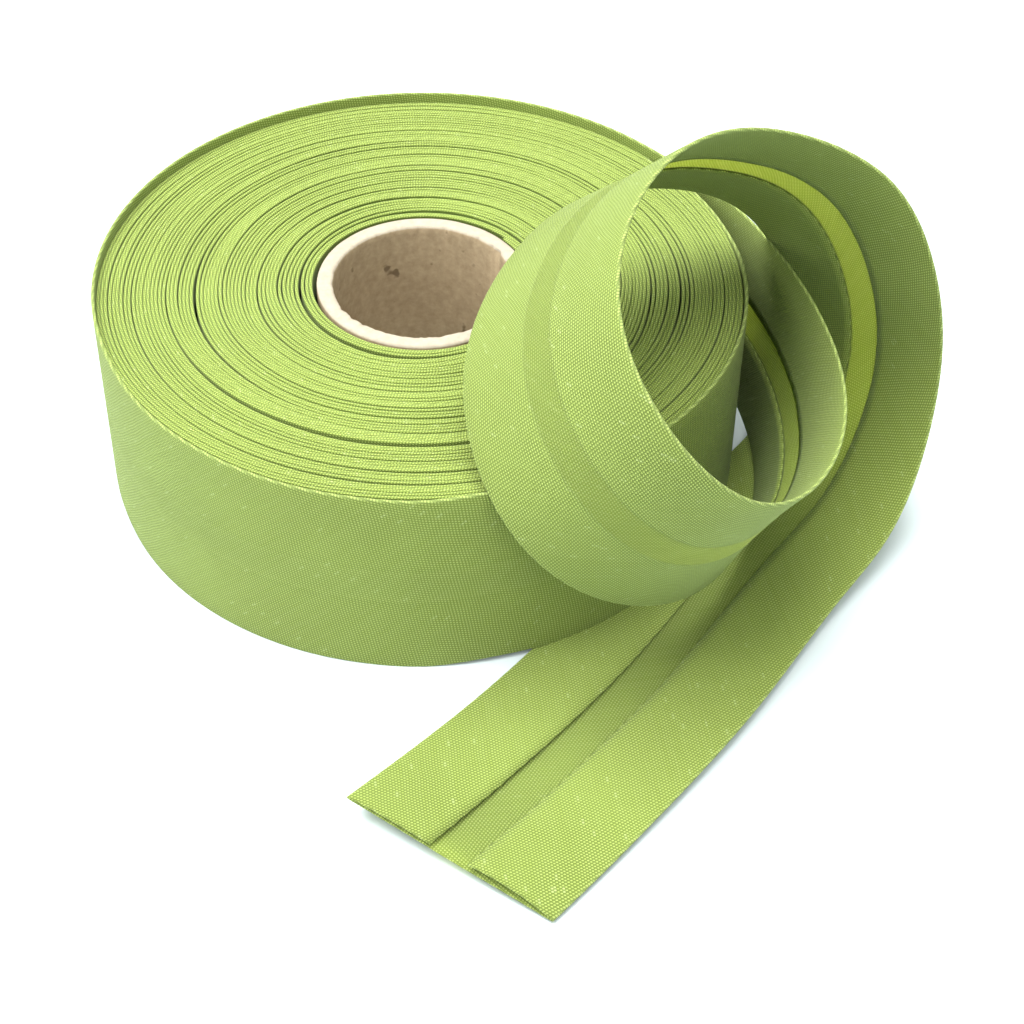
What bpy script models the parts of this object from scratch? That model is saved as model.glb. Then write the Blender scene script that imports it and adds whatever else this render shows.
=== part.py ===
"""Roll of single-fold bias binding on a cardboard core, lying flat, its loose end looped over it.

Three pieces: the core tube, the wound tape and the loose end of the tape.
Metres, +Z up.  The roll's axis is vertical, its flat side stands on z = 0, and the origin is
under the middle of the whole footprint, loose end included.
"""
import bpy
import bmesh
import math
import numpy as np
from mathutils import Vector

MM = 0.001

# ---- the tape: both raw edges are turned in towards the middle and leave a slot between them ----
TAPE_WIDTH = 30.0        # folded width, also the height of the roll
FLAP_WIDTH = 12.3        # each turned-in edge
LAYER = 0.5              # one layer of cloth in the solid
LAYER_GAP = 0.3          # air between the back and a flap
TAPE_HALF = LAYER + LAYER_GAP / 2

# ---- the roll ----
CORE_INNER_RADIUS = 12.5
CORE_OUTER_RADIUS = 14.8
CORE_HEIGHT = 29.8
RIM_ROUND = 0.4
WOUND_INNER_RADIUS = 15.1
WOUND_RADIUS = 46.0
ROLL_AXIS = (-12.4, 20.5)      # from the middle of the footprint

SEGMENTS = 64

# Turns that sit together form bands on the top of the roll, with a gap after each band.
# level: height of the band's top above (+) or below (-) the tape's width
WINDING_BANDS = (
    # name,                inner,  outer,  level
    ("turns on the core",  15.1,   16.9,   -0.3),
    ("second turns",       17.5,   20.3,    0.1),
    ("tight turns",        20.7,   24.6,   -0.1),
    ("proud turns",        24.9,   28.1,    0.3),
    ("even turns",         28.5,   32.7,    0.0),
    ("sunk turns",         33.1,   36.3,   -0.3),
    ("outer turns",        36.7,   41.0,    0.2),
    ("last turns",         41.4,   44.4,    0.0),
    ("outermost wrap",     44.7,   46.0,    0.0),
)
BAND_GAP_DEPTH = 0.9

# The outermost wrap has ridden up along the back of the roll.
WRAP_LIFT = 1.5
WRAP_LIFT_FROM, WRAP_LIFT_TO = 25.0, 205.0      # degrees round the axis
WRAP_LIFT_EASE = 20.0

# The tail of the loose end lies under the roll's front right edge, which it pushes up.
TAIL_POCKET_INNER = 36.6
TAIL_POCKET_HEIGHT = 2.6
TAIL_POCKET_FROM, TAIL_POCKET_TO = -86.0, 8.0   # degrees round the axis
TAIL_POCKET_EASE = 8.0

# ---- the loose end ----
# Each row is a place along the tape.  foot: the edge that is the lower one on the roll, from the
# roll's axis.  lean and rise: from the foot to the other edge, brought to the tape's width.
LOOSE_END = (
    # place,                       foot_x, foot_y, foot_z, lean_x, lean_y, rise
    ("still against the roll",       36.3,   30.5,    1.5,    0.0,    0.0,  30.0),
    ("comes off the roll",           43.9,   17.9,    1.3,   -0.2,    0.3,  30.0),
    ("beside the roll",              47.5,    3.0,    2.4,    0.2,    0.8,  30.0),
    ("starts to lean out",           47.6,  -13.4,    4.3,    5.4,    1.0,  29.4),
    ("stands over the tail",         43.2,  -29.4,    5.7,   11.0,    0.0,  27.9),
    ("nose of the loop",             33.6,  -42.4,    8.9,   16.0,   -2.6,  25.2),
    ("turns up over the roll",       21.0,  -48.9,   16.5,   19.0,   -6.9,  22.2),
    ("climbs the front",              9.8,  -47.6,   28.2,   19.0,   -9.4,  21.3),
    ("above the front rim",           5.0,  -35.8,   37.6,   17.5,  -11.8,  21.5),
    ("front band",                    8.5,  -20.9,   43.6,   16.4,  -12.4,  21.9),
    ("heads back",                   17.4,   -7.6,   45.8,   17.0,  -13.4,  20.8),
    ("highest at the back",          29.8,    2.2,   44.0,   18.1,  -15.6,  18.1),
    ("turns over to the right",      42.7,    5.2,   39.6,   16.8,  -19.2,  15.8),
    ("outermost on the right",       52.0,    6.1,   27.2,   15.6,  -21.6,  13.8),
    ("comes down outside the loop",  53.9,    4.4,    7.6,   16.6,  -21.8,  12.2),
    ("reaches the floor",            48.6,   -1.4,    1.2,   19.4,  -21.0,   8.8),
    ("slips under the roll's edge",  42.0,   -8.6,    0.8,   21.6,  -20.2,   4.6),
    ("furthest under the roll",      34.5,  -16.8,    0.8,   23.0,  -19.2,   2.6),
    ("flat tail",                    18.8,  -37.4,    0.8,   23.4,  -18.7,   1.5),
    ("tail past the roll",            4.7,  -53.7,    1.2,   23.5,  -18.5,   0.5),
    ("cut end, one corner up",      -10.4,  -70.0,    3.6,   25.4,  -17.6,  -2.6),
)
STATION_SPACING = 5.0
EDGE_LINE = 6.5          # extra lines along each flap, so that twisted stretches stay even
FOLD_STEPS = 4

COLOURS = {
    "core": ((0.66, 0.52, 0.36, 1.0), 0.9),
    "wound_tape": ((0.42, 0.56, 0.16, 1.0), 0.95),
    "loose_end": ((0.42, 0.56, 0.16, 1.0), 0.95),
}


def ease(t):
    t = min(1.0, max(0.0, t))
    return t * t * (3.0 - 2.0 * t)


def sector(angle, start, end, width):
    """1 between two directions round the axis, falling to 0 over a width on either side."""
    middle, half = (start + end) / 2, (end - start) / 2
    away = abs((angle - middle + 180.0) % 360.0 - 180.0)
    return 1.0 - ease((away - half) / width + 0.5)


def make_object(name, bm):
    bmesh.ops.recalc_face_normals(bm, faces=bm.faces)
    mesh = bpy.data.meshes.new(name)
    bm.to_mesh(mesh)
    bm.free()
    mesh.shade_smooth()
    mesh.set_sharp_from_angle(angle=math.radians(40))
    colour, roughness = COLOURS[name]
    material = bpy.data.materials.new(name)
    material.use_nodes = True
    shader = material.node_tree.nodes["Principled BSDF"]
    shader.inputs["Base Color"].default_value = colour
    shader.inputs["Roughness"].default_value = roughness
    shader.inputs["Metallic"].default_value = 0.0
    mesh.materials.append(material)
    obj = bpy.data.objects.new(name, mesh)
    obj.location = (ROLL_AXIS[0] * MM, ROLL_AXIS[1] * MM, 0.0)
    bpy.context.scene.collection.objects.link(obj)
    return obj


def turned(profile_at):
    """A closed ring from a profile of (radius, height) points that may change round the axis."""
    bm = bmesh.new()
    rings = []
    for i in range(SEGMENTS):
        turn = 2 * math.pi * i / SEGMENTS
        rings.append([bm.verts.new((r * math.cos(turn) * MM, r * math.sin(turn) * MM, z * MM))
                      for r, z in profile_at(math.degrees(turn))])
    for i, ring in enumerate(rings):
        after = rings[(i + 1) % SEGMENTS]
        for j in range(len(ring)):
            k = (j + 1) % len(ring)
            bm.faces.new((ring[j], after[j], after[k], ring[k]))
    return bm


def core_profile(_):
    inner, outer, top, c = CORE_INNER_RADIUS, CORE_OUTER_RADIUS, CORE_HEIGHT, RIM_ROUND
    return [(inner, 0.0), (outer, 0.0), (outer, top - c), (outer - c, top),
            (inner + c, top), (inner, top - c)]


def wound_profile(angle):
    lift = WRAP_LIFT * sector(angle, WRAP_LIFT_FROM, WRAP_LIFT_TO, WRAP_LIFT_EASE)
    pocket = TAIL_POCKET_HEIGHT * sector(angle, TAIL_POCKET_FROM, TAIL_POCKET_TO, TAIL_POCKET_EASE)
    points = [(WOUND_INNER_RADIUS, 0.0), (TAIL_POCKET_INNER, 0.0),
              (TAIL_POCKET_INNER + 0.4, pocket), (WOUND_RADIUS, pocket)]
    gap_from = None
    for name, inner, outer, level in reversed(WINDING_BANDS):
        if gap_from is not None:
            points.append(((gap_from + outer) / 2, TAPE_WIDTH - BAND_GAP_DEPTH))
        top = TAPE_WIDTH + level + (lift if name == "outermost wrap" else 0.0)
        points += [(outer, top), (inner, top)]
        gap_from = inner
    return points


def smooth_columns(rows):
    """Natural cubic spline through the rows, one column at a time, by distance between the rows."""
    rows = np.array(rows, dtype=float)
    middle = rows[:, :3] + rows[:, 3:] / 2
    knots = np.concatenate([[0.0], np.cumsum(np.linalg.norm(np.diff(middle, axis=0), axis=1))])
    h = np.diff(knots)
    n = len(rows)
    system = np.eye(n)
    right = np.zeros_like(rows)
    for i in range(1, n - 1):
        system[i, i - 1:i + 2] = h[i - 1], 2 * (h[i - 1] + h[i]), h[i]
        right[i] = 6 * ((rows[i + 1] - rows[i]) / h[i] - (rows[i] - rows[i - 1]) / h[i - 1])
    bend = np.linalg.solve(system, right)

    def at(t):
        i = int(min(max(np.searchsorted(knots, t, side="right") - 1, 0), n - 2))
        a, b, w = knots[i + 1] - t, t - knots[i], h[i]
        return ((bend[i] * a ** 3 + bend[i + 1] * b ** 3) / (6 * w)
                + (rows[i] / w - bend[i] * w / 6) * a + (rows[i + 1] / w - bend[i + 1] * w / 6) * b)
    return at, knots[-1]


def loose_end_stations():
    """Foot, direction across the tape and direction off its fold side, evenly along the tape."""
    at, length = smooth_columns([row[1:] for row in LOOSE_END])
    fine = [at(t) for t in np.linspace(0.0, length, 1200)]
    feet = np.array([p[:3] for p in fine])
    across = np.array([p[3:] for p in fine])
    across /= np.linalg.norm(across, axis=1)[:, None]
    middle = feet + across * TAPE_WIDTH / 2
    run = np.concatenate([[0.0], np.cumsum(np.linalg.norm(np.diff(middle, axis=0), axis=1))])
    along = np.gradient(middle, axis=0)
    count = round(run[-1] / STATION_SPACING)
    stations = []
    for i in range(count + 1):
        k = int(np.argmin(abs(run - run[-1] * i / count)))
        side = Vector(across[k])
        off = Vector(along[k]).cross(side).normalized()
        stations.append((Vector(feet[k]), side, off))
    return stations


def tape_section():
    """Outline of the folded tape: (across, off the fold side), both edges turned in."""
    t, g, w = TAPE_HALF, LAYER_GAP / 2, TAPE_WIDTH
    lines = (t, EDGE_LINE, FLAP_WIDTH)
    back = [*lines, *(w - u for u in reversed(lines))]
    outline = [(u, -t) for u in back]
    outline += [(w - t + t * math.cos(a), t * math.sin(a)) for a in fold_angles(-90, 90)]
    outline += [(w - u, t) for u in lines] + [(w - u, g) for u in reversed(lines)]
    outline += [(w - t + g, 0.0)]
    outline += [(u, -g) for u in reversed(back)]
    outline += [(t - g, 0.0)]
    outline += [(u, g) for u in lines] + [(u, t) for u in reversed(lines)]
    outline += [(t + t * math.cos(a), t * math.sin(a)) for a in fold_angles(90, 270)]
    return outline


def fold_angles(start, end):
    return [math.radians(start + (end - start) * i / FOLD_STEPS) for i in range(1, FOLD_STEPS)]


def build_loose_end():
    bm = bmesh.new()
    section = tape_section()
    rings = [[bm.verts.new((foot + side * u + off * v) * MM) for u, v in section]
             for foot, side, off in loose_end_stations()]
    for ring, after in zip(rings, rings[1:]):
        for j in range(len(section)):
            k = (j + 1) % len(section)
            bm.faces.new((ring[j], after[j], after[k], ring[k]))
    ends = [bm.faces.new(rings[0]), bm.faces.new(rings[-1])]
    bmesh.ops.triangulate(bm, faces=ends, ngon_method="EAR_CLIP")
    return make_object("loose_end", bm)


def main():
    for obj in list(bpy.data.objects):
        bpy.data.objects.remove(obj, do_unlink=True)
    make_object("core", turned(core_profile))
    make_object("wound_tape", turned(wound_profile))
    build_loose_end()


main()
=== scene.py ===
"""Looks of the roll of bias binding: lime green plain weave cotton, cut on the bias and folded in
at both edges, wound on a cardboard core.

Lengths below are in millimetres from the roll's axis unless a name says otherwise; everything is
turned into metres in the frame's own place when a mesh is made.
"""
import bpy
import math
import numpy as np
from mathutils import Matrix, Vector


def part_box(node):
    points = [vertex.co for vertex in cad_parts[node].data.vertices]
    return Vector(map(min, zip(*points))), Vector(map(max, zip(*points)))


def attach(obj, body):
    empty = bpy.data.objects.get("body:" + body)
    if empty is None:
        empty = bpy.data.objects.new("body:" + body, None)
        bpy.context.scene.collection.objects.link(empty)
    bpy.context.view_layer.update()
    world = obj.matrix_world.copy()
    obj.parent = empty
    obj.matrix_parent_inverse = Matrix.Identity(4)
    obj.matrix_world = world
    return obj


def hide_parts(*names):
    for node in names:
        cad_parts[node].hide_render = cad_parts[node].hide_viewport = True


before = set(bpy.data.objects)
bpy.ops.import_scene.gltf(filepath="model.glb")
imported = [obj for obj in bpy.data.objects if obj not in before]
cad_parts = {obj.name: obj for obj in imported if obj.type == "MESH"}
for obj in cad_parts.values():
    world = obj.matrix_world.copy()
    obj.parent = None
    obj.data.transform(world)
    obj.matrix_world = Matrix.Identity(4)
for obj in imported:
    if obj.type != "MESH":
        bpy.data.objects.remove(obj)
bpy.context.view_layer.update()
CORE_LOW, CORE_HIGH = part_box("core")
AXIS = Vector(((CORE_LOW[0] + CORE_HIGH[0]) / 2, (CORE_LOW[1] + CORE_HIGH[1]) / 2, 0.0))
MM = 0.001

# ---------------------------------------------------------------- the tape
TAPE_WIDTH = 30.0
FLAP_WIDTH = 12.3
CLOTH = 0.20                 # thickness of one layer
FOLD_RADIUS = 0.14           # middle of the cloth round a pressed fold
TURN = 0.50                  # a turn of folded tape on the roll
CLOTH_MIDDLE = 27.45         # from a raw edge, along the cloth, to the middle of the tape
FOLD_FROM_MIDDLE = 15.08     # from there to each pressed fold
BARE_HALF = (2.45, 2.95)     # half width of the single layer between the flaps, and where it fades

# ---------------------------------------------------------------- the weave and its colours
WARP_PITCH, WEFT_PITCH = 0.340, 0.238        # about 29 and 42 threads to the centimetre
GREEN = (0.370, 0.460, 0.104, 1.0)
GREEN_BROAD = (0.34, 0.46, 0.10, 1.0)        # slow drift of the dye
GREEN_HOLLOW_SHADE = (0.045, 0.080, 0.004, 1.0)      # painted shade in the hollows between the threads
GREEN_GAP_SHADE = (0.055, 0.085, 0.012, 1.0)       # painted shade down between two turns
GREEN_SLUBS_AND_HIGHLIGHT = (0.560, 0.660, 0.290, 1.0)     # lighter threads and slubs; painted highlight on raised threads and folds; painted glow on the single layer
GREEN_THROUGH = (0.960, 0.980, 0.380, 1.0)   # light that passes a thread
GREEN_THROUGH_LOW = (0.520, 0.640, 0.080, 1.0)
THIN_GAIN = (0.97, 0.97, 1.0, 1.0)
SHEEN_TINT = (0.90, 1.0, 0.75, 1.0)

# ---------------------------------------------------------------- the roll
WOUND_INNER = 15.05
WOUND_OUTER = 45.25          # outside of the last wound turn, under the outermost wrap
TURNS = 54
COLUMNS = 168                # steps round one turn
TAPE_LEAVES = 40.0           # direction, in degrees, where the tape leaves the roll

# Open gaps between turns: (turn from the core, middle direction, half spread in degrees, width)
OPEN_GAPS = (
    (3, 235.0, 95.0, 0.75),
    (3, 20.0, 60.0, 0.16),
    (8, 300.0, 70.0, 0.14),
    (13, 100.0, 90.0, 0.16),
    (16, 250.0, 60.0, 0.20),
    (21, 330.0, 90.0, 0.18),
    (24, 75.0, 80.0, 0.20),
    (29, 200.0, 60.0, 0.18),
    (30, 300.0, 50.0, 0.26),
    (36, 255.0, 70.0, 0.20),
    (38, 350.0, 60.0, 0.22),
    (41, 110.0, 70.0, 0.18),
    (45, 280.0, 60.0, 0.16),
    (49, 30.0, 80.0, 0.16),
)

# The outermost wrap: it stands proud along the back and rides on the tail at the front right.
WRAP_LIFT, WRAP_LIFT_FROM, WRAP_LIFT_TO, WRAP_LIFT_EASE = 1.5, 25.0, 205.0, 26.0
TAIL_LIFT, TAIL_FROM, TAIL_TO, TAIL_EASE = 0.75, -86.0, 8.0, 12.0
WRAP_START, WRAP_STEP = int(TAPE_LEAVES) + 360, 10
WRAP_RADIUS, WRAP_GROWS, WRAP_TUCK, WRAP_TAPER = 45.35, 0.35, 0.45, 0.25

# ---------------------------------------------------------------- the core
CORE_INNER, CORE_OUTER, CORE_HEIGHT = 12.5, 14.8, 29.8
CARD_WALL, CARD_WALL_PALE = (0.30, 0.225, 0.135, 1.0), (0.42, 0.33, 0.205, 1.0)
CARD_RIM, CARD_RIM_PALE = (0.34, 0.295, 0.225, 1.0), (0.43, 0.380, 0.290, 1.0)
CARD_WALL_SPOT, CARD_RIM_SPOT = (0.10, 0.065, 0.035, 1.0), (0.22, 0.165, 0.11, 1.0)

# ---------------------------------------------------------------- the loose end
# foot: the edge that is the lower one on the roll.  lean and rise: from the foot to the other edge.
LOOSE_END = (
    # place,                       foot_x, foot_y, foot_z, lean_x, lean_y, rise
    ("leaving the roll",             40.6,   22.3,    1.4,   -0.2,    0.1,  30.0),
    ("comes off the roll",           43.9,   17.1,    1.3,    0.2,    0.1,  30.0),
    ("beside the roll",              47.5,    3.0,    2.4,    2.0,    0.7,  29.9),
    ("starts to lean out",           47.6,  -13.4,    4.3,    5.4,    1.0,  29.4),
    ("stands over the tail",         43.2,  -29.4,    5.7,   11.0,    0.0,  27.9),
    ("nose of the loop",             33.6,  -42.4,    8.9,   16.0,   -2.6,  25.2),
    ("turns up over the roll",       21.0,  -48.9,   16.5,   19.0,   -6.9,  22.2),
    ("climbs the front",              9.8,  -47.6,   28.2,   19.0,   -9.4,  21.3),
    ("above the front rim",           5.0,  -35.8,   37.6,   17.5,  -11.8,  21.5),
    ("front band",                    8.5,  -20.9,   43.6,   16.4,  -12.4,  21.9),
    ("heads back",                   17.4,   -7.6,   45.8,   17.0,  -13.4,  20.8),
    ("highest at the back",          29.5,    1.9,   43.6,   18.4,  -15.3,  18.0),
    ("turns over to the right",      42.2,    4.9,   39.3,   17.4,  -18.6,  15.8),
    ("outermost on the right",       51.7,    5.8,   27.1,   15.9,  -21.3,  13.9),
    ("comes down outside the loop",  53.9,    4.4,    7.6,   16.6,  -21.8,  12.2),
    ("reaches the floor",            48.6,   -1.4,    1.2,   19.4,  -21.0,   8.8),
    ("slips under the roll's edge",  42.0,   -8.6,    0.5,   21.6,  -20.2,   4.6),
    ("furthest under the roll",      34.5,  -16.8,    0.35,  23.0,  -19.2,   2.6),
    ("flat tail",                    18.8,  -37.4,    0.35,  23.4,  -18.7,   1.5),
    ("tail past the roll",            4.7,  -53.7,    0.8,   23.5,  -18.5,   0.5),
    ("cut end, one corner up",      -10.4,  -70.0,    3.4,   25.4,  -17.6,  -2.9),
)
STATION_SPACING = 1.5        # along the tape, between two rows of the mesh
FREE_FROM, FREE_EASE = 300.0, 40.0           # along the tape: past here it ripples

# How far the flaps stand off the back, by distance from the cut end: at the free edge and halfway.
FLAP_LIFTS = (
    # from end, foot side edge, foot side belly, far side edge, far side belly
    (0.0,        0.45,           0.35,            0.80,          1.15),
    (6.0,        0.42,           0.30,            0.55,          0.70),
    (16.0,       0.38,           0.20,            0.22,          0.20),
    (35.0,       0.34,           0.15,            0.10,          0.08),
    (60.0,       0.25,           0.12,            0.06,          0.05),
    (95.0,       0.08,           0.05,            0.05,          0.05),
    (700.0,      0.04,           0.03,            0.05,          0.03),
)

# ---------------------------------------------------------------- stage, lights, camera
FLOOR = (0.62, 0.69, 0.705, 1.0)
TENT, TENT_STRENGTH = (0.97, 1.0, 1.0, 1.0), 0.78
LIGHT_DISTANCE = 1.2         # metres
LIGHTS = (
    # name,     azimuth, elevation, size, power
    ("overhead",  165.0,      76.0,  1.2,  33.0),
    ("left",      205.0,      32.0,  1.0,   6.0),
    ("front",     290.0,      60.0,  1.0,   6.0),
)
CAMERA_AT = (0.0, -224.25, 200.25)
CAMERA_TURN = (3.39, 43.85, 1.37)            # yaw to the right, pitch down, roll, in degrees
LENS, SENSOR_WIDTH = 70.3, 36.0


# ================================================================ helpers
def wander(x, every, seed):
    """Smooth random wander between -1 and 1 with a new value at each step of `every`."""
    x = np.asarray(x, float) / every
    i = np.floor(x).astype(int)
    f = x - i
    f = f * f * (3 - 2 * f)
    values = np.random.default_rng(seed).uniform(-1, 1, 4096)
    return values[i % 4096] * (1 - f) + values[(i + 1) % 4096] * f


def ease(t):
    t = np.clip(t, 0.0, 1.0)
    return t * t * (3.0 - 2.0 * t)


def sector(angle, start, end, width):
    """1 between two directions round the axis, falling to 0 over a width on either side."""
    middle, half = (start + end) / 2, (end - start) / 2
    away = np.abs((np.asarray(angle) - middle + 180.0) % 360.0 - 180.0)
    return 1.0 - ease((away - half) / width + 0.5)


def make_mesh(name, points, faces, uv, material):
    """A mesh from points in mm from the roll's axis; uv is one pair per face corner, in mm."""
    mesh = bpy.data.meshes.new(name)
    points = np.asarray(points, float) * MM + np.array(AXIS)
    mesh.from_pydata(points.tolist(), [], faces)
    layer = mesh.uv_layers.new(name="cloth")
    layer.uv.foreach_set("vector", np.asarray(uv, np.float32).ravel())
    mesh.shade_smooth()
    mesh.update()
    obj = bpy.data.objects.new(name, mesh)
    bpy.context.scene.collection.objects.link(obj)
    mesh.materials.append(material)
    return obj


def sweep(rings, uvs):
    """Quads and their uv between rows of points; uvs has one more column than a closed ring."""
    rows, cols = rings.shape[:2]
    i = np.arange(rows - 1)[:, None]
    j = np.arange(cols)[None, :]
    k = (j + 1) % cols
    faces = np.stack([i * cols + j, (i + 1) * cols + j, (i + 1) * cols + k, i * cols + k], -1)
    uv = np.stack([uvs[i, j], uvs[i + 1, j], uvs[i + 1, j + 1], uvs[i, j + 1]], -2)
    return faces.reshape(-1, 4), uv.reshape(-1, 2)


def smooth_columns(rows):
    """Natural cubic spline through the rows, one column at a time, by distance between the rows."""
    rows = np.array(rows, dtype=float)
    middle = rows[:, :3] + rows[:, 3:] / 2
    knots = np.concatenate([[0.0], np.cumsum(np.linalg.norm(np.diff(middle, axis=0), axis=1))])
    h = np.diff(knots)
    n = len(rows)
    system = np.eye(n)
    right = np.zeros_like(rows)
    for i in range(1, n - 1):
        system[i, i - 1:i + 2] = h[i - 1], 2 * (h[i - 1] + h[i]), h[i]
        right[i] = 6 * ((rows[i + 1] - rows[i]) / h[i] - (rows[i] - rows[i - 1]) / h[i - 1])
    bend = np.linalg.solve(system, right)

    def at(t):
        i = np.clip(np.searchsorted(knots, t, side="right") - 1, 0, n - 2)
        a, b, w = (knots[i + 1] - t)[:, None], (t - knots[i])[:, None], h[i][:, None]
        curve = (bend[i] * a ** 3 + bend[i + 1] * b ** 3) / (6 * w)
        return curve + (rows[i] / w - bend[i] * w / 6) * a + (rows[i + 1] / w - bend[i + 1] * w / 6) * b

    return at, knots[-1]


# ================================================================ node helpers
class Tree:
    """Short ways to add shader nodes to a material."""

    def __init__(self, name):
        self.material = bpy.data.materials.new(name)
        self.material.use_nodes = True
        self.nodes = self.material.node_tree.nodes
        self.links = self.material.node_tree.links
        self.nodes.clear()

    def add(self, kind, inputs=None, **settings):
        node = self.nodes.new(kind)
        for key, value in settings.items():
            setattr(node, key, value)
        for key, value in (inputs or {}).items():
            self.put(value, node.inputs[key])
        return node

    def put(self, value, socket):
        if isinstance(value, bpy.types.NodeSocket):
            self.links.new(value, socket)
        else:
            socket.default_value = value

    def math(self, operation, a, b=None, c=None, clamp=False):
        node = self.nodes.new("ShaderNodeMath")
        node.operation = operation
        node.use_clamp = clamp
        for i, value in enumerate((a, b, c)):
            if value is not None:
                self.put(value, node.inputs[i])
        return node.outputs[0]

    def mix(self, factor, a, b, blend="MIX"):
        node = self.nodes.new("ShaderNodeMix")
        node.data_type = "RGBA"
        node.blend_type = blend
        self.put(factor, node.inputs[0])
        self.put(a, node.inputs[6])
        self.put(b, node.inputs[7])
        return node.outputs[2]

    def noise(self, vector, scale, detail=2.0, rough=0.5, dims="3D"):
        node = self.add("ShaderNodeTexNoise", noise_dimensions=dims)
        self.put(vector, node.inputs["Vector"])
        node.inputs["Scale"].default_value = scale
        node.inputs["Detail"].default_value = detail
        node.inputs["Roughness"].default_value = rough
        return node.outputs["Fac"]

    def span(self, value, low, high, to_low=0.0, to_high=1.0, smooth=False):
        node = self.add("ShaderNodeMapRange", clamp=True)
        if smooth:
            node.interpolation_type = "SMOOTHSTEP"
        self.put(value, node.inputs["Value"])
        for key, v in (("From Min", low), ("From Max", high), ("To Min", to_low), ("To Max", to_high)):
            node.inputs[key].default_value = v
        return node.outputs["Result"]

    def white(self, w):
        node = self.add("ShaderNodeTexWhiteNoise", noise_dimensions="1D")
        self.put(w, node.inputs["W"])
        return node.outputs["Value"]

    def split(self, vector):
        return self.add("ShaderNodeSeparateXYZ", inputs={0: vector}).outputs

    def away(self, value, middle):
        return self.math("ABSOLUTE", self.math("SUBTRACT", value, middle))

    def finish(self, shader):
        out = self.add("ShaderNodeOutputMaterial")
        self.links.new(shader, out.inputs[0])
        return self.material


def slubs(t, thread, thread_step, along, along_step):
    """Slow light and dark places along each thread."""
    x = t.math("MULTIPLY", t.math("FLOOR", thread), thread_step)
    y = t.math("MULTIPLY", along, along_step)
    place = t.add("ShaderNodeCombineXYZ", inputs={0: x, 1: y}).outputs[0]
    return t.noise(place, 1.0, 1.0, 0.5, "2D")


def weave(t):
    """Plain weave cut on the bias, from the cloth uv (mm along, mm across the unfolded tape).
    Gives the uv, the height of the threads, their tone, the raised dots of the warp, the warp's
    lines, how far each place is from a fold, the single layer between the flaps, and the slubs."""
    uv = t.add("ShaderNodeUVMap", uv_map="cloth").outputs["UV"]
    wob = t.add("ShaderNodeTexNoise", noise_dimensions="2D",
                inputs={"Vector": uv, "Scale": 0.10, "Detail": 2.0})
    drift = t.add("ShaderNodeVectorMath", operation="MULTIPLY_ADD",
                  inputs={0: wob.outputs["Color"], 1: (0.55, 0.55, 0.0), 2: uv}).outputs[0]
    drifted = t.split(drift)
    s, w = drifted[0], drifted[1]
    diagonal = 1 / math.sqrt(2)
    a = t.math("MULTIPLY", t.math("ADD", s, w), diagonal / WARP_PITCH)
    b = t.math("MULTIPLY", t.math("SUBTRACT", s, w), diagonal / WEFT_PITCH)
    sin_a = t.math("SINE", t.math("MULTIPLY", a, math.pi))
    sin_b = t.math("SINE", t.math("MULTIPLY", b, math.pi))
    over = t.math("MULTIPLY_ADD", t.math("MULTIPLY", sin_a, sin_b), 0.5, 0.5)
    round_a = t.math("POWER", t.math("ABSOLUTE", sin_a), 0.7)
    round_b = t.math("POWER", t.math("ABSOLUTE", sin_b), 0.7)
    warp = t.math("MULTIPLY", round_a, t.math("MULTIPLY_ADD", over, 0.75, 0.25))
    weft = t.math("MULTIPLY", round_b, t.math("MULTIPLY_ADD", over, -0.75, 1.0))
    height = t.math("MAXIMUM", warp, weft)
    which = t.span(t.math("SUBTRACT", warp, weft), -0.15, 0.15)
    tone_a = t.white(t.math("FLOOR", a))
    tone_b = t.white(t.math("ADD", t.math("FLOOR", b), 0.37))
    slub_a = slubs(t, a, 7.3, b, 0.05)
    slub_b = slubs(t, b, 5.9, a, 0.07)
    tone = t.add("ShaderNodeMix", data_type="FLOAT")
    t.put(which, tone.inputs[0])
    t.put(t.math("ADD", t.math("MULTIPLY", tone_b, 0.45), slub_b), tone.inputs[2])
    t.put(t.math("ADD", t.math("MULTIPLY", tone_a, 0.45), slub_a), tone.inputs[3])
    line = t.math("MULTIPLY", round_a, t.math("MULTIPLY_ADD", tone_a, 0.35, 0.65))
    dots = t.span(over, 0.30, 0.85, smooth=True)
    flat = t.split(uv)
    from_middle = t.away(flat[1], CLOTH_MIDDLE)
    folds = t.away(from_middle, FOLD_FROM_MIDDLE)
    between_flaps = t.span(from_middle, *BARE_HALF, 1.0, 0.0)
    # on the roll the turn below shows through and no light comes from behind, so the single layer's
    # painted glow and its translucency are small there
    bare = t.math("MULTIPLY", between_flaps, t.span(flat[0], 275.0, 300.0, 0.15, 1.0))
    bit_along = t.math("FLOOR", t.math("MULTIPLY", b, 0.25))
    thread_bit = t.math("MULTIPLY_ADD", t.math("FLOOR", a), 17.0, bit_along)
    slub = t.span(t.white(thread_bit), 0.988, 0.992, 0.0, 3.0)
    return uv, height, tone.outputs[0], dots, line, folds, bare, slub


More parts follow.
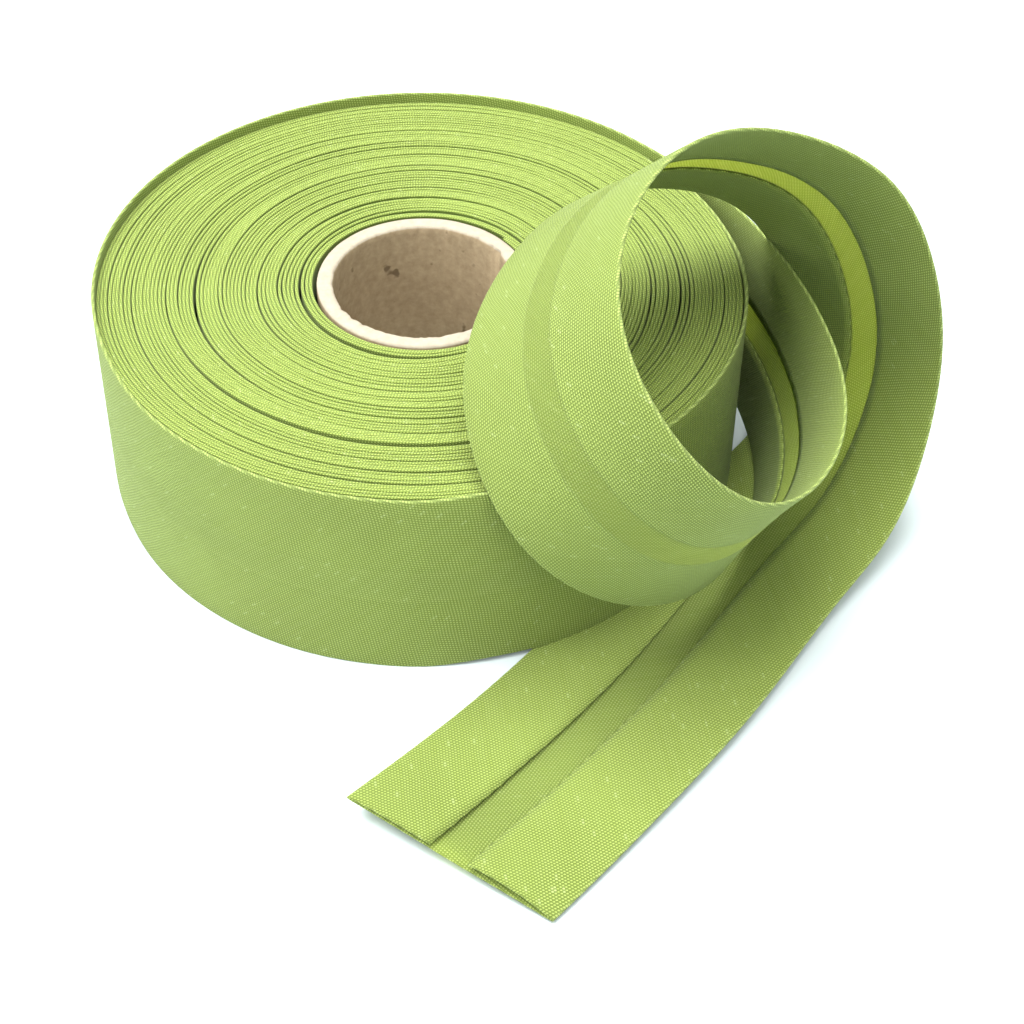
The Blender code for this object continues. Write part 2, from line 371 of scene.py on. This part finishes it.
def cloth_material(name, thin):
    """The dyed cotton: thin where it hangs free and lets light through, ridged where it is wound."""
    t = Tree(name)
    uv, height, tone, dots, line, folds, bare, slub = weave(t)
    place = t.add("ShaderNodeTexCoord").outputs["Object"]
    broad = t.noise(place, 45.0, 3.0, 0.55)
    # darker towards the hollow colour where the weave is low: painted shade between the threads; the
    # weft floats also stay darker than the warp dots
    from_height = t.math("MULTIPLY_ADD", height, 0.50, -0.12)
    raised = t.math("ADD", t.math("MULTIPLY", dots, 0.72), from_height, clamp=True)
    colour = t.mix(raised, GREEN_HOLLOW_SHADE, GREEN)
    if thin:
        colour = t.mix(1.0, colour, THIN_GAIN, "MULTIPLY")
    # lighter thread tone and slubs, strongest on the raised threads, so partly painted highlight
    lift = t.math("ADD", t.span(tone, 0.35, 1.15, 0.0, 1.0), slub)
    colour = t.mix(t.math("MULTIPLY", lift, t.math("MULTIPLY", raised, 0.13)), colour, GREEN_SLUBS_AND_HIGHLIGHT)
    colour = t.mix(t.span(broad, 0.3, 0.7, 0.0, 0.16), colour, GREEN_BROAD)
    # painted highlight along the pressed folds
    colour = t.mix(t.span(folds, 0.12, 0.34, 0.12, 0.0), colour, GREEN_SLUBS_AND_HIGHLIGHT)
    if thin:
        # painted glow on the single layer between the flaps, where light comes through from behind; the
        # translucent share below also lets light through
        single_layer_glow = t.math("MULTIPLY", bare, t.math("MULTIPLY", raised, 0.34))
        colour = t.mix(single_layer_glow, colour, GREEN_SLUBS_AND_HIGHLIGHT)
    else:
        # painted shade: each wound turn darkens down its sides into the gap to the next turn, along a
        # ragged line set by the threads
        across = t.add("ShaderNodeUVMap", uv_map="ridge").outputs["UV"]
        edge = t.math("ABSOLUTE", t.split(across)[1])
        serration = t.math("MULTIPLY_ADD", height, 0.55, -0.25)
        gap_shade = t.span(t.math("SUBTRACT", edge, serration), 0.55, 1.15, 0.0, 1.0, smooth=True)
        colour = t.mix(t.math("MULTIPLY", gap_shade, 0.80), colour, GREEN_GAP_SHADE)
    threads = t.add("ShaderNodeBump", inputs={
        "Height": height, "Strength": 0.85, "Distance": 0.00007}).outputs[0]
    fuzz = t.noise(uv, 9.0, 3.0, 0.7, "2D")
    relief = t.add("ShaderNodeBump", inputs={
        "Height": fuzz, "Strength": 0.25, "Distance": 0.00006, "Normal": threads}).outputs[0]
    surface = t.add("ShaderNodeBsdfPrincipled", inputs={
        "Base Color": colour, "Roughness": 0.88, "Normal": relief,
        "Specular IOR Level": 0.25, "Sheen Weight": 0.12, "Sheen Roughness": 0.45,
        "Sheen Tint": SHEEN_TINT}).outputs[0]
    if not thin:
        return t.finish(surface)
    passes = t.math("MULTIPLY_ADD", line, 0.5, t.math("MULTIPLY", dots, 0.6))
    through = t.add("ShaderNodeBsdfTranslucent", inputs={
        "Color": t.mix(passes, GREEN_THROUGH_LOW, GREEN_THROUGH), "Normal": relief}).outputs[0]
    share = t.math("MULTIPLY_ADD", bare, 0.38, 0.10)
    blend = t.add("ShaderNodeMixShader", inputs={0: share, 1: surface, 2: through}).outputs[0]
    return t.finish(blend)


def card_material():
    """Kraft card, flecked with fibre, and paler where the rim was cut."""
    t = Tree("core_card")
    place = t.add("ShaderNodeTexCoord").outputs["Object"]
    rim = t.add("ShaderNodeUVMap", uv_map="cloth").outputs["UV"]
    is_rim = t.span(t.split(rim)[1], 0.35, 0.65)
    pulp = t.noise(place, 900.0, 6.0, 0.65)
    flecks = t.noise(place, 420.0, 2.0, 0.5)
    spots = t.span(flecks, 0.66, 0.74)
    wall = t.mix(t.span(pulp, 0.3, 0.7), CARD_WALL, CARD_WALL_PALE)
    wall = t.mix(t.math("MULTIPLY", spots, 0.75), wall, CARD_WALL_SPOT)
    face = t.mix(t.span(pulp, 0.3, 0.7), CARD_RIM, CARD_RIM_PALE)
    face = t.mix(t.math("MULTIPLY", spots, 0.35), face, CARD_RIM_SPOT)
    colour = t.mix(is_rim, wall, face)
    bump = t.add("ShaderNodeBump", inputs={"Height": pulp, "Strength": 0.6, "Distance": 0.0001})
    surface = t.add("ShaderNodeBsdfPrincipled", inputs={
        "Base Color": colour, "Roughness": 0.95, "Normal": bump.outputs[0], "Specular IOR Level": 0.2})
    return t.finish(surface.outputs[0])


# ================================================================ the wound turns
def turn_radii(k, x, azimuth):
    """Radius of the middle of each turn: tight turns, small random gaps and the open ones."""
    n = k + x
    gap = 0.01 + 0.19 * np.maximum(0.0, wander(n, 0.19, 3) + 0.25 * wander(n, 0.05, 4)) ** 1.3
    for turn, middle, spread, width in OPEN_GAPS:
        away = np.abs((azimuth - middle + 180.0) % 360.0 - 180.0)
        gap = gap + width * (k == turn) * (1 - ease(away / spread))
    radius = np.empty(n.shape)
    radius[0] = WOUND_INNER + TURN / 2 + (TURN + 0.05) * x[0]
    for row in range(1, len(radius)):
        radius[row] = radius[row - 1] + TURN + gap[row]
    # what is left over is shared out, so that the last turn ends at the outside
    pitch = (WOUND_OUTER - TURN - WOUND_INNER) / TURNS
    target = WOUND_INNER + TURN / 2 + pitch * n
    last = (radius - target) / np.maximum(n, 1.0)
    share = (1 - x[0]) * last[TURNS] + x[0] * last[TURNS - 1]
    return radius - n * share


def wound_turns():
    """One long strip wound clockwise outwards, each turn a folded tape with a rounded fold on top."""
    k = np.arange(TURNS + 2)[:, None]
    x = np.arange(COLUMNS)[None, :] / COLUMNS
    n = k + x
    azimuth = (TAPE_LEAVES - 360.0 * x) % 360.0 + 0 * k
    radius = turn_radii(k, x, azimuth)
    level = (0.22 * wander(n, 4.3, 11) + 0.12 * wander(n, 1.1, 12) + 0.13 * wander(n, 0.27, 13)
             + 0.035 * wander(n, 0.06, 14))
    level = level - 0.25 * ease((3.2 - n) / 1.0)
    top = TAPE_WIDTH + level
    under = sector(azimuth, TAIL_FROM, TAIL_TO, TAIL_EASE) * ease((radius - 36.2) / 1.2)
    foot = 0.12 + 0.10 * wander(n, 0.31, 17) + 1.1 * under
    total = TURNS * COLUMNS + 1
    radius, top, foot, n = (v.reshape(-1)[:total] for v in (radius, top, foot, n))
    angle = np.radians(TAPE_LEAVES - 360.0 * n)
    half = TURN / 2 * (1 + 0.05 * wander(n, 0.13, 19))
    # the first six are measured from the top, the last four from the foot
    profile = (
        # across, height, uv across, ridge
        (-1.00,   -0.20,    -0.50,  -1.00),
        (-0.84,   -0.05,    -0.30,  -0.84),
        (-0.40,    0.00,    -0.12,  -0.40),
        (0.40,     0.00,     0.12,   0.40),
        (0.84,    -0.05,     0.30,   0.84),
        (1.00,    -0.20,     0.50,   1.00),
        (1.00,     0.20,    30.40,   1.60),
        (0.55,     0.00,    30.70,   0.60),
        (-0.55,    0.00,    31.00,  -0.60),
        (-1.00,    0.20,    31.30,  -1.60),
    )
    length = np.concatenate([[0.0], np.cumsum(radius[1:] * np.abs(np.diff(angle)))])
    rings, uvs, ridges = [], [], []
    for i, (across, high, v, ridge) in enumerate(profile):
        r = radius + half * across
        z = (top if i < 6 else foot) + high
        rings.append(np.stack([r * np.cos(angle), r * np.sin(angle), z], -1))
        uvs.append(np.stack([length, v + 0 * length], -1))
        ridges.append(np.stack([0 * length, ridge + 0 * length], -1))
    uvs.append(np.stack([length, 61.3 + 0 * length], -1))
    ridges.append(np.stack([0 * length, -1.6 + 0 * length], -1))
    rings, uvs, ridges = (np.stack(v, 1) for v in (rings, uvs, ridges))
    faces, uv = sweep(rings, uvs)
    _, ridge_uv = sweep(rings, ridges)
    count = rings.shape[1]
    points = rings.reshape(-1, 3)
    faces = faces.tolist()
    faces.append(list(range(count - 1, -1, -1)))
    faces.append([len(points) - count + j for j in range(count)])
    ends = np.zeros((2 * count, 2))
    obj = make_mesh("wound_turns", points, faces, np.concatenate([uv, ends]), WOUND_CLOTH)
    layer = obj.data.uv_layers.new(name="ridge")
    layer.uv.foreach_set("vector", np.concatenate([ridge_uv, ends]).astype(np.float32).ravel())
    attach(obj, "root")
    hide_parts("wound_tape")


# ================================================================ the outermost wrap and loose end
def wrap_row(azimuth):
    """A place on the outermost wrap, which starts tucked under its own end."""
    after = float(WRAP_START - azimuth)
    tucked = float(1 - ease(after / 30.0))
    radius = WRAP_RADIUS + WRAP_GROWS * after / 350.0 - WRAP_TUCK * tucked
    lift = (WRAP_LIFT * float(sector(azimuth, WRAP_LIFT_FROM, WRAP_LIFT_TO, WRAP_LIFT_EASE))
            + TAIL_LIFT * float(sector(azimuth, TAIL_FROM, TAIL_TO, TAIL_EASE)))
    lift = max(lift * float(ease(after / 40.0)), 0.05)
    a = math.radians(azimuth)
    return (radius * math.cos(a), radius * math.sin(a), lift,
            -WRAP_TAPER * math.cos(a), -WRAP_TAPER * math.sin(a), TAPE_WIDTH)


def tape_stations():
    """Evenly spaced places along the tape: distance, foot, direction across, direction off."""
    wrap = [wrap_row(a) for a in range(WRAP_START, int(TAPE_LEAVES) - 1, -WRAP_STEP)]
    at, length = smooth_columns(wrap + [row[1:] for row in LOOSE_END])
    fine = at(np.linspace(0.0, length, 6000))
    feet, across = fine[:, :3], fine[:, 3:]
    across = across / np.linalg.norm(across, axis=1)[:, None]
    middle = feet + across * TAPE_WIDTH / 2
    run = np.concatenate([[0.0], np.cumsum(np.linalg.norm(np.diff(middle, axis=0), axis=1))])
    along = np.gradient(middle, axis=0)
    off = np.cross(along, across)
    off /= np.linalg.norm(off, axis=1)[:, None]
    count = round(run[-1] / STATION_SPACING)
    at_run = np.linspace(0.0, run[-1], count + 1)

    def pick(v):
        return np.stack([np.interp(at_run, run, v[:, i]) for i in range(3)], 1)
    return at_run, pick(feet), pick(across), pick(off)


def folded_cloth():
    """Middle of the cloth across the folded tape: developed distance, across, off, and the normal."""
    arc = math.pi * FOLD_RADIUS
    flap = np.linspace(0.0, FLAP_WIDTH - FOLD_RADIUS, 9)
    turn = np.linspace(0.0, math.pi, 8)[1:-1]
    back = np.linspace(FOLD_RADIUS, TAPE_WIDTH - FOLD_RADIUS, 17)
    rows = []
    for d in flap:                                   # foot side flap, from its raw edge to the fold
        rows.append((d, FLAP_WIDTH - d, FOLD_RADIUS, 0.0, 1.0))
    at = FLAP_WIDTH - FOLD_RADIUS
    for a in turn:
        rows.append((at + a * FOLD_RADIUS, FOLD_RADIUS - FOLD_RADIUS * math.sin(a),
                     FOLD_RADIUS * math.cos(a), -math.sin(a), math.cos(a)))
    at += arc
    for u in back:
        rows.append((at + u - FOLD_RADIUS, u, -FOLD_RADIUS, 0.0, -1.0))
    at += TAPE_WIDTH - 2 * FOLD_RADIUS
    for a in turn:
        rows.append((at + a * FOLD_RADIUS, TAPE_WIDTH - FOLD_RADIUS + FOLD_RADIUS * math.sin(a),
                     -FOLD_RADIUS * math.cos(a), math.sin(a), -math.cos(a)))
    at += arc
    for d in flap:
        rows.append((at + d, TAPE_WIDTH - FOLD_RADIUS - d, FOLD_RADIUS, 0.0, 1.0))
    return np.array(rows), len(flap)


def loose_tape():
    """The outermost wrap and the loose end: one thin cloth with both edges folded in."""
    run, feet, side, off = tape_stations()
    cloth, flap_points = folded_cloth()
    count = len(cloth)
    from_end = run[-1] - run
    lifts = np.array(FLAP_LIFTS)
    edge_a, belly_a, edge_b, belly_b = (
        np.interp(from_end, lifts[:, 0], lifts[:, i])[:, None] for i in range(1, 5))
    developed, across, offset, normal_u, normal_v = cloth.T
    flap_a = np.arange(count) < flap_points
    flap_b = np.arange(count) >= count - flap_points
    from_far_fold = np.where(flap_b, (TAPE_WIDTH - across) / FLAP_WIDTH, 0.0)
    reach = np.clip(np.where(flap_a, across / FLAP_WIDTH, from_far_fold), 0, 1)
    bow = np.sin(np.pi * reach) * 0.6
    raised = (flap_a * (edge_a * reach ** 1.4 + belly_a * bow)
              + flap_b * (edge_b * reach ** 1.2 + belly_b * bow))
    place = across[None, :] / TAPE_WIDTH
    ripple = 0.10 * wander(run, 17.0, 31)[:, None] * (place - 0.5)
    ripple = ripple + 0.05 * wander(run, 6.0, 32)[:, None] * np.sin(place * 9.0)
    free = ease((run - FREE_FROM) / FREE_EASE)[:, None]
    v = offset[None, :] + raised + ripple * free
    u = across[None, :] + 0 * v
    # the raw edges of the flaps wander a little
    u = u + (0.04 * wander(run, 2.2, 41)[:, None] * (flap_a & (reach > 0.99))
             - 0.04 * wander(run, 2.4, 42)[:, None] * (flap_b & (reach > 0.97)))
    surfaces = []
    for shift in (CLOTH / 2, -CLOTH / 2):
        uu, vv = u + normal_u * shift, v + normal_v * shift
        surfaces.append(feet[:, None] + side[:, None] * uu[..., None] + off[:, None] * vv[..., None])
    outer, inner = surfaces
    rings = np.concatenate([outer, inner[:, ::-1]], 1)
    dist = np.concatenate([developed, developed[::-1], developed[:1]])
    uvs = np.stack(np.broadcast_arrays(run[:, None], dist[None, :]), -1)
    faces, uv = sweep(rings, uvs)
    points = rings.reshape(-1, 3)
    total = rings.shape[1]
    faces = faces.tolist()
    uv = uv.tolist()
    last = len(points) - total
    # close the two cut ends, from raw edge to raw edge
    for j in range(count - 1):
        a, b, c, d = j, j + 1, total - 2 - j, total - 1 - j
        faces.append([a, b, c, d])
        faces.append([last + d, last + c, last + b, last + a])
        for k in (a, b, c, d):
            uv.append([run[0], dist[k]])
        for k in (d, c, b, a):
            uv.append([run[-1] + 0.2, dist[k]])
    obj = make_mesh("loose_tape", points, faces, uv, THIN_CLOTH)
    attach(obj, "root")
    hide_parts("loose_end")
    return obj, run[-1]


# ================================================================ the core
def core_tube():
    """Cardboard tube with a cut rim: softly broken corners, a ragged inner edge and a torn place."""
    angle = np.radians(np.arange(360) * 1.0)
    degrees = np.degrees(angle)
    top = CORE_HEIGHT
    profile = (
        # radius share, height, rim share
        (0.00,  8.0,        0.0),
        (0.00, 20.0,        0.0),
        (0.00, top - 1.2,   0.0),
        (0.00, top - 0.45,  0.15),
        (0.06, top - 0.12,  0.9),
        (0.20, top,         1.0),
        (0.50, top + 0.02,  1.0),
        (0.80, top,         1.0),
        (0.95, top - 0.08,  1.0),
        (1.00, top - 0.4,   0.3),
        (1.00, top - 2.0,   0.0),
        (1.00, 15.0,        0.0),
        (1.00,  0.3,        0.3),
        (0.90,  0.05,       1.0),
        (0.50,  0.0,        1.0),
        (0.10,  0.05,       1.0),
        (0.00,  0.35,       0.2),
    )
    chip = np.maximum(0.0, wander(degrees, 5.0, 51)) ** 1.5
    chip = chip + 0.5 * np.maximum(0.0, wander(degrees, 1.7, 52))
    tear = sector(degrees, 28.0, 44.0, 10.0)
    chip = 0.30 * chip + 0.7 * tear * (0.6 + 0.4 * wander(degrees, 2.0, 53))
    rings, uvs = [], []
    for share, z, rim in profile:
        r = CORE_INNER + (CORE_OUTER - CORE_INNER) * share
        near_top = ease((z - CORE_HEIGHT + 1.6) / 1.2)
        inside = max(0.0, 1 - share / 0.25)
        r = r + chip * 0.65 * inside * near_top
        uneven = 0.03 * wander(degrees, 9.0, 54) * near_top
        zz = z - chip * 0.30 * inside * near_top + uneven
        rings.append(np.stack([r * np.cos(angle), r * np.sin(angle), zz + 0 * r], -1))
        uvs.append(np.stack([degrees, rim + 0 * degrees], -1))
    rings = np.stack(rings, 0)
    count, cols = rings.shape[:2]
    faces, uv = [], []
    for i in range(count):
        k = (i + 1) % count
        for j in range(cols):
            m = (j + 1) % cols
            faces.append([i * cols + j, k * cols + j, k * cols + m, i * cols + m])
            uv += [uvs[i][j], uvs[k][j], uvs[k][m], uvs[i][m]]
    obj = make_mesh("core_tube", rings.reshape(-1, 3), faces, uv, CARD)
    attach(obj, "root")
    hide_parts("core")


# ================================================================ stage, lights, camera
def stage():
    """A plain pale floor, a hair below the cloth."""
    floor = bpy.data.meshes.new("floor")
    floor.from_pydata([(-3, -3, 0), (3, -3, 0), (3, 3, 0), (-3, 3, 0)], [], [(0, 1, 2, 3)])
    obj = bpy.data.objects.new("floor", floor)
    obj.location.z = -0.00005
    bpy.context.scene.collection.objects.link(obj)
    t = Tree("floor")
    surface = t.add("ShaderNodeBsdfPrincipled", inputs={
        "Base Color": FLOOR, "Roughness": 0.6, "Specular IOR Level": 0.2})
    floor.materials.append(t.finish(surface.outputs[0]))


def area_light(name, azimuth, elevation, size, power):
    """A round soft light that faces the roll; size in metres, power in watts."""
    light = bpy.data.lights.new(name, "AREA")
    light.shape = "DISK"
    light.size = size
    light.energy = power
    obj = bpy.data.objects.new(name, light)
    a, e = math.radians(azimuth), math.radians(elevation)
    toward = Vector((math.cos(a) * math.cos(e), math.sin(a) * math.cos(e), math.sin(e)))
    obj.location = AXIS + toward * LIGHT_DISTANCE
    obj.rotation_mode = "QUATERNION"
    obj.rotation_quaternion = toward.to_track_quat("Z", "Y")
    bpy.context.scene.collection.objects.link(obj)


def lights():
    world = bpy.data.worlds.new("tent")
    world.use_nodes = True
    background = world.node_tree.nodes["Background"]
    background.inputs["Color"].default_value = TENT
    background.inputs["Strength"].default_value = TENT_STRENGTH
    bpy.context.scene.world = world
    for row in LIGHTS:
        area_light(*row)


def camera():
    """Stands in front, 300 mm from the roll, looking down at about 44 degrees."""
    data = bpy.data.cameras.new("camera")
    data.lens = LENS
    data.sensor_width = SENSOR_WIDTH
    data.clip_start, data.clip_end = 0.01, 20.0
    obj = bpy.data.objects.new("camera", data)
    yaw, pitch, roll = (math.radians(v) for v in CAMERA_TURN)
    ahead = math.cos(pitch)
    forward = Vector((math.sin(yaw) * ahead, math.cos(yaw) * ahead, -math.sin(pitch)))
    level = Vector((math.cos(yaw), -math.sin(yaw), 0.0))
    up = level.cross(forward)
    right = math.cos(roll) * level + math.sin(roll) * up
    up = -math.sin(roll) * level + math.cos(roll) * up
    turn = Matrix((right, up, -forward)).transposed()
    obj.matrix_world = Matrix.Translation(AXIS + Vector(CAMERA_AT) * MM) @ turn.to_4x4()
    bpy.context.scene.collection.objects.link(obj)
    bpy.context.scene.camera = obj


bpy.context.scene.view_settings.view_transform = "Standard"
camera()
lights()
stage()
THIN_CLOTH = cloth_material("cotton_thin", thin=True)
WOUND_CLOTH = cloth_material("cotton_wound", thin=False)
CARD = card_material()
wound_turns()
tape, tape_length = loose_tape()
core_tube()
